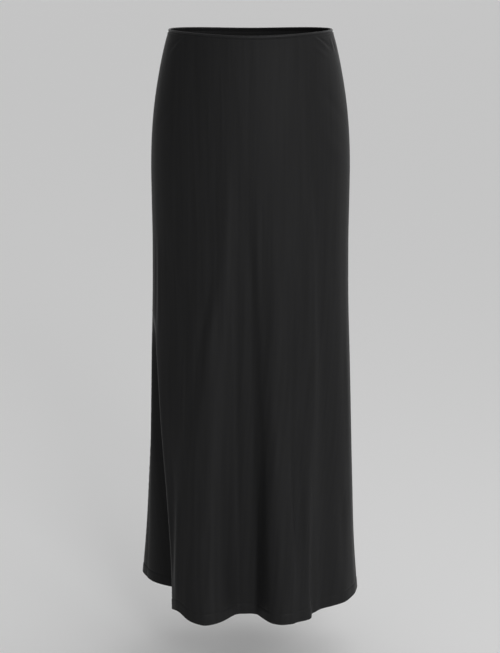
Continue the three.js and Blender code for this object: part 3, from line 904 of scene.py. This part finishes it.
@dataclass
class Zip:
    """The concealed side zip: two tapes with their coil inside the seam, the slider and its pull."""

    top: float = 5.2  # depths at which the tapes start and end
    length: float = 178.0
    tape_grid: tuple[int, int] = (120, 13)
    tape_width: float = 12.0
    tape_inset: float = 0.5
    tape_offset: float = 2.35
    tape_thickness: float = 0.5
    ripple: tuple[float, float, float] = (0.06, 0.9, 0.5)  # height, and radians for each mm down and across
    coil_top: float = 24.0
    coil_short: float = 3.0  # the coil ends this far above the tapes' ends
    tooth_pitch: float = 1.45
    tooth: tuple[float, float] = (2.3, 0.75)  # length and thickness
    tooth_set: float = 0.75  # from the seam, and behind the tape
    slider_depth: float = 11.5
    behind: float = 3.45
    body: tuple[float, float, float] = (6.4, 10.0, 1.6)  # width, length and thickness
    body_taper: float = 0.62  # low width to high width
    body_bevel: float = 0.4
    arch: tuple[float, float] = (7.6, 1.4)  # length and thickness
    arch_top: float = 3.6
    arch_corner: float = 0.42  # corners: 1 for an ellipse, less for squarer
    arch_bevel: float = 0.25
    eye: tuple[float, float, float] = (5.4, 0.8, 2.8)  # length, low and high side
    eye_corner: float = 0.5
    pull: tuple[float, float, float] = (4.8, 20.0, 1.0)  # width, length and thickness
    pull_corner: float = 0.55
    pull_end: float = 0.5  # how much shorter its rounded end makes it
    pull_bevel: float = 0.22
    pull_widths: tuple[float, float, float] = (0.8, 0.9, 0.1)  # least, mean and change, as shares
    pull_eye: tuple[float, float] = (2.6, 5.1)  # width and length
    bar: float = 1.0

    OUTLINE = 40  # points of an outline
    SHARP = 1.2  # edges that turn by more radians are bevelled

    def frame(self, form: SkirtForm) -> Matrix:
        """The slider's own axes: x along the waist, y up the seam, z out of the cloth.

        Args:
            form: the smooth form.

        Returns:
            Their matrix, in metres.
        """
        angle, down = np.array([Side.RIGHT.value]), np.array([self.slider_depth])
        out = Vector(form.outward(angle, down)[0])
        up = (Vector((0, 0, 1)) - out * out.z).normalized()
        along = up.cross(out)
        place = Matrix((along, up, out)).transposed().to_4x4()
        place.translation = Vector(form.surface(angle, down)[0]) * MM
        return place

    def tape(self, form: SkirtForm, seams: Seams, name: str, node: str, way: int,
             finish: bpy.types.Material) -> bpy.types.Object:
        """One tape with its row of coil teeth.

        Args:
            form: the smooth form.
            seams: the gaps in the side seams.
            name: the piece's name.
            node: the solid that it stands for.
            way: 1 for the tape behind the seam's angle, -1 for the one in front.
            finish: the tape's material.

        Returns:
            The tape.
        """
        rows, columns = self.tape_grid
        down = np.linspace(self.top, self.length, rows)[:, None]
        away = np.linspace(0, self.tape_width, columns)[None, :]
        gap = seams.half_gap(Side.RIGHT, down)
        seam = np.full_like(down, Side.RIGHT.value)
        per_degree = np.linalg.norm(form.surface(seam + 0.5, down) - form.surface(seam - 0.5, down), axis=-1)
        angle = Side.RIGHT.value + way * (gap + self.tape_inset + away) / per_degree
        deep = np.broadcast_to(down, angle.shape)
        height, lengthways, across = self.ripple
        lift = height * np.sin(deep * lengthways) * np.cos(away * across) - self.tape_offset
        points = form.surface(angle, deep) + form.outward(angle, deep) * lift[..., None]
        if way < 0:
            points = points[:, ::-1]
        u = np.broadcast_to(away, angle.shape)
        bm = shaped_grid(points, u, deep)
        bmesh.ops.solidify(bm, geom=bm.faces, thickness=self.tape_thickness * MM)
        bmesh.ops.recalc_face_normals(bm, faces=bm.faces)
        teeth = np.arange(self.coil_top, self.length - self.coil_short, self.tooth_pitch)
        teeth = teeth + (self.tooth_pitch / 2 if way < 0 else 0)
        at = np.full_like(teeth, Side.RIGHT.value)
        out = form.outward(at, teeth)
        ahead = unit(form.surface(at + form.NUDGE_ANGLE, teeth) - form.surface(at - form.NUDGE_ANGLE, teeth))
        middles = form.surface(at, teeth) + ahead * way * self.tooth_set
        middles = middles - out * (self.tape_offset + self.tooth_set)
        stitch_row(bm, middles, ahead, out, self.tooth)
        obj = new_object(name, bm, [finish])
        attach(obj, "skirt")
        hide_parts(node)
        return obj

    def ring_plate(self, outer: np.ndarray, inner: np.ndarray, thick: float,
                   bevel: float) -> bmesh.types.BMesh:
        """A bevelled plate with an eye in it, drawn in x and y and thick along z.

        Args:
            outer: the outline's points in mm.
            inner: the eye's points in mm, as many as the outline has.
            thick: its thickness in mm.
            bevel: the rounding of its edges in mm.

        Returns:
            The plate.
        """
        bm = bmesh.new()
        for line in (outer, inner):
            ring = bmesh.ops.create_circle(bm, cap_ends=False, segments=len(line), radius=1.0)["verts"]
            for vert, (x, y) in zip(ring, line):
                vert.co = Vector((x, y, -thick / 2)) * MM
        bmesh.ops.bridge_loops(bm, edges=bm.edges)
        lifted = bmesh.ops.extrude_face_region(bm, geom=bm.faces[:])["geom"]
        top = [part for part in lifted if isinstance(part, bmesh.types.BMVert)]
        bmesh.ops.translate(bm, verts=top, vec=(0, 0, thick * MM))
        bmesh.ops.recalc_face_normals(bm, faces=bm.faces)
        sharp = [e for e in bm.edges if len(e.link_faces) == 2 and e.calc_face_angle() > self.SHARP]
        round_edges(bm, sharp, bevel, 2)
        return bm

    def rounded(self, width: np.ndarray | float, low: float, high: float, power: float) -> np.ndarray:
        """Points of a rounded rectangle.

        Args:
            width: its width in mm, or its widths at the points.
            low: its lowest y.
            high: its highest y.
            power: 1 for an ellipse, less for squarer corners.

        Returns:
            An array of (x, y).
        """
        turn = np.linspace(0, 2 * np.pi, self.OUTLINE, endpoint=False)
        x = squared(np.sin(turn), power) * np.asarray(width) / 2
        y = (low + high) / 2 + squared(np.cos(turn), power) * (high - low) / 2
        return np.stack([x, y], -1)

    def slider(self, form: SkirtForm, finish: bpy.types.Material) -> bpy.types.Object:
        """The slider: a tapered body behind the coil, and an arch that comes out of the seam.

        Args:
            form: the smooth form.
            finish: its material.

        Returns:
            The slider.
        """
        low = -self.behind - self.body[2] / 2
        outer = self.rounded(self.arch[0], low, self.arch_top, self.arch_corner)
        inner = self.rounded(*self.eye, self.eye_corner)
        bm = self.ring_plate(outer, inner, self.arch[1], self.arch_bevel)
        turn = Matrix(((0, 0, 1, 0), (1, 0, 0, 0), (0, 1, 0, 0), (0, 0, 0, 1)))
        bmesh.ops.transform(bm, matrix=turn, verts=bm.verts)
        block = bmesh.ops.create_cube(bm, size=1.0)["verts"]
        width, length, thick = self.body
        for vert in block:
            share = vert.co.y + 0.5
            vert.co.x *= width * (self.body_taper + (1 - self.body_taper) * share) * MM
            vert.co.y *= length * MM
            vert.co.z = (vert.co.z * thick - self.behind - thick / 2) * MM
        round_edges(bm, list({e for vert in block for e in vert.link_edges}), self.body_bevel, 3)
        bmesh.ops.transform(bm, matrix=self.frame(form), verts=bm.verts)
        obj = new_object("slider", bm, [finish])
        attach(obj, "skirt")
        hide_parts("zip_slider")
        return obj

    def pull_tab(self, form: SkirtForm, finish: bpy.types.Material) -> bpy.types.Object:
        """The pull: a slim drop with an eye, whose top bar turns in the slider's arch.

        Args:
            form: the smooth form.
            finish: its material.

        Returns:
            The pull.
        """
        width, length, thick = self.pull
        least, mean, change = self.pull_widths
        narrow = mean - change * np.cos(np.linspace(0, 2 * np.pi, self.OUTLINE, endpoint=False)) ** 3
        widths = width * np.clip(narrow, least, 1)
        outer = self.rounded(widths, -length + self.pull_end, self.bar / 2, self.pull_corner)
        eye_width, eye_length = self.pull_eye
        inner = self.rounded(eye_width, -self.bar / 2 - eye_length, -self.bar / 2, self.eye_corner)
        bm = self.ring_plate(outer, inner, thick, self.pull_bevel)
        lift = Matrix.Translation((0, 0, (self.eye[1] + self.eye[2]) / 2 * MM))
        bmesh.ops.transform(bm, matrix=self.frame(form) @ lift, verts=bm.verts)
        obj = new_object("pull_tab", bm, [finish])
        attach(obj, "pull")
        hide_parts("zip_pull")
        return obj


class Board:
    """A material's node tree with short calls to add and join nodes."""

    def __init__(self, tree: bpy.types.NodeTree) -> None:
        """Keeps the tree."""
        self.tree = tree

    def add(self, kind: str, **values: object) -> bpy.types.Node:
        """Adds a node.

        Args:
            kind: the node's type name without its prefix.
            **values: properties, or input values where the name is an input's with _ for a space.

        Returns:
            The node.
        """
        node = self.tree.nodes.new("ShaderNode" + kind)
        for key, value in values.items():
            if hasattr(node, key):
                setattr(node, key, value)
            else:
                node.inputs[key.replace("_", " ")].default_value = value
        return node

    def join(self, source: bpy.types.NodeSocket, target: bpy.types.NodeSocket) -> None:
        """Links an output to an input."""
        self.tree.links.new(source, target)

    def math(self, operation: str, *inputs: object) -> bpy.types.NodeSocket:
        """Adds a Math node.

        Args:
            operation: its operation.
            *inputs: sockets or numbers.

        Returns:
            Its output.
        """
        node = self.tree.nodes.new("ShaderNodeMath")
        node.operation = operation
        for i, value in enumerate(inputs):
            if isinstance(value, bpy.types.NodeSocket):
                self.join(value, node.inputs[i])
            else:
                node.inputs[i].default_value = value
        return node.outputs[0]

    def ramp(self, source: bpy.types.NodeSocket, places: tuple[float, float],
             colors: list[list[float]]) -> bpy.types.NodeSocket:
        """Adds a ramp between two colours.

        Args:
            source: what it reads.
            places: the colours' places on it.
            colors: the two colours.

        Returns:
            Its colour output.
        """
        node = self.add("ValToRGB")
        for element, place, color in zip(node.color_ramp.elements, places, colors):
            element.position, element.color = place, (*color, 1)
        self.join(source, node.inputs[0])
        return node.outputs[0]

    def bump(self, height: bpy.types.NodeSocket, strength: float, distance: float,
             normal: bpy.types.NodeSocket | None = None) -> bpy.types.NodeSocket:
        """Adds a Bump node.

        Args:
            height: what it reads.
            strength: its strength.
            distance: its distance in metres.
            normal: another bump's output that it adds to.

        Returns:
            Its output.
        """
        node = self.add("Bump", Strength=strength, Distance=distance)
        self.join(height, node.inputs["Height"])
        if normal:
            self.join(normal, node.inputs["Normal"])
        return node.outputs[0]


class Weave(Enum):
    """How threads cross: the steps that a float moves by."""

    SATIN = 5
    TAPE = 2


def new_group(name: str, floats: dict[str, float],
              outputs: tuple[str, ...]) -> tuple[Board, bpy.types.Node, bpy.types.Node]:
    """Makes a node group with a Vector input.

    Args:
        name: the group's name.
        floats: its float inputs and their values.
        outputs: its float outputs.

    Returns:
        Its board, its input node and its output node.
    """
    tree = bpy.data.node_groups.new(name, "ShaderNodeTree")
    tree.interface.new_socket("Vector", in_out="INPUT", socket_type="NodeSocketVector")
    for key, value in floats.items():
        tree.interface.new_socket(key, in_out="INPUT", socket_type="NodeSocketFloat").default_value = value
    for key in outputs:
        tree.interface.new_socket(key, in_out="OUTPUT", socket_type="NodeSocketFloat")
    return Board(tree), tree.nodes.new("NodeGroupInput"), tree.nodes.new("NodeGroupOutput")


def new_material(name: str, **values: object) -> tuple[bpy.types.Material, Board, bpy.types.Node]:
    """Makes a material.

    Args:
        name: its name.
        **values: values of its shader's inputs, with _ for a space.

    Returns:
        The material, its board and its shader.
    """
    material = bpy.data.materials.new(name)
    material.use_nodes = True
    shader = material.node_tree.nodes["Principled BSDF"]
    for key, value in values.items():
        shader.inputs[key.replace("_", " ")].default_value = value
    return material, Board(material.node_tree), shader


def weave_group() -> bpy.types.NodeTree:
    """Threads over and under each other on a UV map in metres.

    Returns:
        A group with Vector, Threads and Float inputs and a Height output.
    """
    board, ins, outs = new_group("thread_weave", {"Threads": 2800.0, "Float": 5.0}, ("Height",))
    split = board.add("SeparateXYZ")
    board.join(ins.outputs["Vector"], split.inputs[0])
    across = board.math("MULTIPLY", split.outputs[0], ins.outputs["Threads"])
    down = board.math("MULTIPLY", split.outputs[1], ins.outputs["Threads"])
    warp = board.math("ABSOLUTE", board.math("SINE", board.math("MULTIPLY", across, math.pi)))
    slant = board.math("ADD", down, board.math("MULTIPLY", across, 2.0))
    cross = board.math("DIVIDE", slant, ins.outputs["Float"])
    dips = board.math("SINE", board.math("MULTIPLY", cross, 2 * math.pi))
    board.join(board.math("MULTIPLY_ADD", dips, 0.4, warp), outs.inputs["Height"])
    return board.tree


def slub_group() -> bpy.types.NodeTree:
    """Long uneven streaks along the warp, and the pebbled crepe between them.

    Returns:
        A group with a Vector input and Streak and Crepe outputs.
    """
    board, ins, outs = new_group("slub_and_crepe", {}, ("Streak", "Crepe"))
    stretch = board.add("Mapping", Scale=(150.0, 5.0, 1.0))
    board.join(ins.outputs["Vector"], stretch.inputs["Vector"])
    streak = board.add("TexNoise", Scale=1.0, Detail=4.0, Roughness=0.6)
    board.join(stretch.outputs[0], streak.inputs["Vector"])
    board.join(streak.outputs["Fac"], outs.inputs["Streak"])
    crepe = board.add("TexNoise", Scale=900.0, Detail=3.0, Roughness=0.55)
    board.join(ins.outputs["Vector"], crepe.inputs["Vector"])
    board.join(crepe.outputs["Fac"], outs.inputs["Crepe"])
    return board.tree


@dataclass(frozen=True)
class ClothFinish:
    """A woven finish: its colour, sheen and the scale of its threads."""

    name: str
    color: tuple[float, float, float]
    roughness: float
    specular: float
    sheen: float
    sheen_roughness: float
    weave: Weave
    threads: float  # to the metre
    streak: float  # how far its streaks change its colour, as a share
    crepe: float  # strength of its pebbles

    RAMP = (0.3, 0.72)
    DULLER = 0.12  # how far its streaks change its roughness

    def build(self, groups: dict[str, bpy.types.NodeTree]) -> bpy.types.Material:
        """Builds the material.

        Args:
            groups: the shared node groups by name.

        Returns:
            The material.
        """
        material, board, shader = new_material(
            self.name, Specular_IOR_Level=self.specular, Sheen_Weight=self.sheen,
            Sheen_Roughness=self.sheen_roughness)
        place = board.add("UVMap", uv_map="cloth")
        slub = board.add("Group", node_tree=groups["slub"])
        weave = board.add("Group", node_tree=groups["weave"])
        weave.inputs["Threads"].default_value = self.threads
        weave.inputs["Float"].default_value = float(self.weave.value)
        board.join(place.outputs[0], slub.inputs[0])
        board.join(place.outputs[0], weave.inputs[0])
        streak = slub.outputs["Streak"]
        colors = [[c * (1 + change) for c in self.color] for change in (-self.streak, self.streak)]
        board.join(board.ramp(streak, self.RAMP, colors), shader.inputs["Base Color"])
        rough = board.math("MULTIPLY_ADD", streak, self.DULLER, self.roughness - self.DULLER / 2)
        board.join(rough, shader.inputs["Roughness"])
        fine = board.bump(weave.outputs["Height"], strength=0.35, distance=0.00004)
        pebble = board.bump(slub.outputs["Crepe"], strength=self.crepe, distance=0.00012, normal=fine)
        waves = board.bump(streak, strength=0.3, distance=0.0006, normal=pebble)
        board.join(waves, shader.inputs["Normal"])
        return material


@dataclass(frozen=True)
class EnamelFinish:
    """Black enamel on small zip metal, a little worn and dulled."""

    name: str = "black_enamel"
    color: tuple[float, float, float] = (0.012, 0.012, 0.013)
    roughness: float = 0.28
    metallic: float = 0.35
    coat: float = 0.4
    worn: float = 2.2  # how much lighter the worn places are

    RAMP = (0.45, 0.75)
    DULLER, CLEARER = 0.3, 0.1  # how far the worn places change its roughness

    def build(self) -> bpy.types.Material:
        """Builds the material.

        Returns:
            The material.
        """
        material, board, shader = new_material(self.name, Metallic=self.metallic, Coat_Weight=self.coat)
        place = board.add("TexCoord")
        dull = board.add("TexNoise", Scale=420.0, Detail=4.0, Roughness=0.6)
        board.join(place.outputs["Object"], dull.inputs["Vector"])
        worn = dull.outputs["Fac"]
        colors = [self.color, [c * self.worn for c in self.color]]
        board.join(board.ramp(worn, self.RAMP, colors), shader.inputs["Base Color"])
        rough = board.math("MULTIPLY_ADD", worn, self.DULLER, self.roughness - self.CLEARER)
        board.join(rough, shader.inputs["Roughness"])
        board.join(board.bump(worn, strength=0.2, distance=0.00003), shader.inputs["Normal"])
        return material


SATIN = ClothFinish(
    "black_satin", (0.0158, 0.0158, 0.0162), roughness=0.46, specular=0.045, sheen=0.01,
    sheen_roughness=0.35, weave=Weave.SATIN, threads=2600.0, streak=0.12, crepe=0.35)
REVERSE = ClothFinish(
    "satin_reverse", (0.018, 0.018, 0.0184), roughness=0.65, specular=0.07, sheen=0.01,
    sheen_roughness=0.5, weave=Weave.SATIN, threads=2600.0, streak=0.08, crepe=0.6)
EDGING = ClothFinish(
    "satin_edge", (0.0145, 0.0145, 0.015), roughness=0.42, specular=0.16, sheen=0.02,
    sheen_roughness=0.35, weave=Weave.SATIN, threads=2600.0, streak=0.15, crepe=0.4)
THREAD = ClothFinish(
    "thread", (0.012, 0.012, 0.0125), roughness=0.5, specular=0.4, sheen=0.1,
    sheen_roughness=0.4, weave=Weave.TAPE, threads=4000.0, streak=0.1, crepe=0.3)
TAPE = ClothFinish(
    "zip_tape_weave", (0.0095, 0.0095, 0.0098), roughness=0.75, specular=0.25, sheen=0.1,
    sheen_roughness=0.5, weave=Weave.TAPE, threads=1500.0, streak=0.1, crepe=0.5)


class Studio:
    """Pale floor, soft lights and the camera at the photograph's angle."""

    CAMERA = Vector((0.0, -2.6, 0.148))
    AIM = Vector((-0.0008, 0.0, -0.4666))
    LENS = 92.05
    SENSOR = 36.0
    CLIP_END = 200.0

    FLOOR, FLOOR_RADIUS = -1.02, 45.0
    FLOOR_COLOR, FLOOR_ROUGHNESS = (0.86, 0.86, 0.86, 1), 0.9

    # The surround's light by direction: even, more from the right and more from behind, then scaled.
    EVEN, FROM_RIGHT, FROM_BEHIND = 0.5, 0.4, 0.3
    SIDE_LIGHT = 1.05
    LEAST_LIGHT = 0.1
    BACKDROP = 0.62  # what the camera sees of it

    SKIRT_MIDDLE = Vector((0, 0, -0.45))
    SPREAD = math.radians(90)
    LIGHTS = (
        ("key", (0.9, -3.0, 0.3), (0.8, 2.2), 9.6),
        ("side", (1.9, -2.3, 0.1), (0.9, 2.6), 2.8),
        ("rim", (2.3, 0.9, -0.1), (0.4, 2.2), 0.4),
    )

    def build(self) -> None:
        """Builds the floor, the world, the lights and the camera."""
        self._floor()
        self._world()
        for light in self.LIGHTS:
            self._light(*light)
        self._camera()
        view = bpy.context.scene.view_settings
        view.view_transform = "Standard"
        view.look = "None"

    def _floor(self) -> None:
        """A wide pale floor under the hem."""
        bm = bmesh.new()
        bmesh.ops.create_circle(bm, cap_ends=True, segments=64, radius=self.FLOOR_RADIUS)
        bmesh.ops.translate(bm, verts=bm.verts, vec=(0, 0, self.FLOOR))
        material, *_ = new_material("pale_floor", Base_Color=self.FLOOR_COLOR, Roughness=self.FLOOR_ROUGHNESS)
        new_object("floor", bm, [material])

    def _world(self) -> None:
        """A surround that lights more from behind and the right, and looks evenly pale to the camera."""
        world = bpy.data.worlds.new("surround")
        world.use_nodes = True
        board = Board(world.node_tree)
        place = board.add("TexCoord")
        split = board.add("SeparateXYZ")
        board.join(place.outputs["Generated"], split.inputs[0])
        side = board.math("MULTIPLY_ADD", split.outputs[0], self.FROM_RIGHT, self.EVEN)
        side = board.math("MULTIPLY_ADD", split.outputs[1], self.FROM_BEHIND, side)
        side = board.math("MAXIMUM", side, 0.0)
        total = board.math("MULTIPLY_ADD", side, self.SIDE_LIGHT, self.LEAST_LIGHT)
        seen = board.add("LightPath").outputs["Is Camera Ray"]
        total = board.math("MULTIPLY_ADD", seen, board.math("SUBTRACT", self.BACKDROP, total), total)
        back = world.node_tree.nodes["Background"]
        back.inputs[0].default_value = (1, 1, 1, 1)
        board.join(total, back.inputs[1])
        bpy.context.scene.world = world

    @staticmethod
    def _aimed(data: bpy.types.ID, place: Vector, target: Vector) -> bpy.types.Object:
        """Puts a light or a camera in the scene.

        Args:
            data: the light or the camera.
            place: where it stands in metres.
            target: what it looks at.

        Returns:
            Its object.
        """
        obj = bpy.data.objects.new(data.name, data)
        obj.location = place
        obj.rotation_euler = (target - place).to_track_quat("-Z", "Y").to_euler()
        bpy.context.scene.collection.objects.link(obj)
        return obj

    def _light(self, name: str, place: tuple[float, float, float], size: tuple[float, float],
               power: float) -> None:
        """A soft box with a grid, which keeps its light off the floor, facing the middle of the skirt.

        Args:
            name: the light's name.
            place: its centre in metres.
            size: its width and height in metres.
            power: its power in watts.
        """
        data = bpy.data.lights.new(name, "AREA")
        data.shape = "RECTANGLE"
        data.size, data.size_y = size
        data.energy = power
        data.spread = self.SPREAD
        self._aimed(data, Vector(place), self.SKIRT_MIDDLE)

    def _camera(self) -> None:
        """The camera, a little above the waist, looking down along the skirt."""
        data = bpy.data.cameras.new("camera")
        data.lens = self.LENS
        data.sensor_width = self.SENSOR
        data.clip_end = self.CLIP_END
        bpy.context.scene.camera = self._aimed(data, self.CAMERA, self.AIM)


def main() -> None:
    """Builds the skirt round the frame and the studio round the skirt."""
    logging.basicConfig(level=logging.INFO, format="%(message)s")
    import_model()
    form, seams = SkirtForm(), Seams()
    groups = {"weave": weave_group(), "slub": slub_group()}
    satin, reverse = SATIN.build(groups), REVERSE.build(groups)
    edging, thread = EDGING.build(groups), THREAD.build(groups)
    tape, enamel = TAPE.build(groups), EnamelFinish().build()
    left, right = Side.LEFT, Side.RIGHT
    front = (left.value, right.value + 360)
    back = (right.value, left.value)
    panels = (
        Cloth("front_cloth", ("front_panel",), "waist_edge_front", *front, (left, right), FRONT_CREASES, 214),
        Cloth("back_cloth", ("back_panel",), "waist_edge_back", *back, (right, left), BACK_CREASES, 170),
    )
    edges = (
        WaistEdge("waist_roll_front", "waist_edge_front", *front, (left, right)),
        WaistEdge("waist_roll_back", "waist_edge_back", *back, (right, left)),
    )
    side_zip = Zip()
    pieces = [panel.build(form, seams, [satin, reverse]) for panel in panels]
    pieces += [edge.build(form, seams, edging) for edge in edges]
    pieces += [
        HemStitches().build(form, thread),
        side_zip.tape(form, seams, "tape_front", "zip_tape_front", -1, tape),
        side_zip.tape(form, seams, "tape_back", "zip_tape_back", 1, tape),
        side_zip.slider(form, enamel),
        side_zip.pull_tab(form, enamel),
    ]
    for piece in pieces:
        LOG.info("%s: %d faces", piece.name, len(piece.data.polygons))
    Studio().build()


if __name__ == "__main__":
    main()
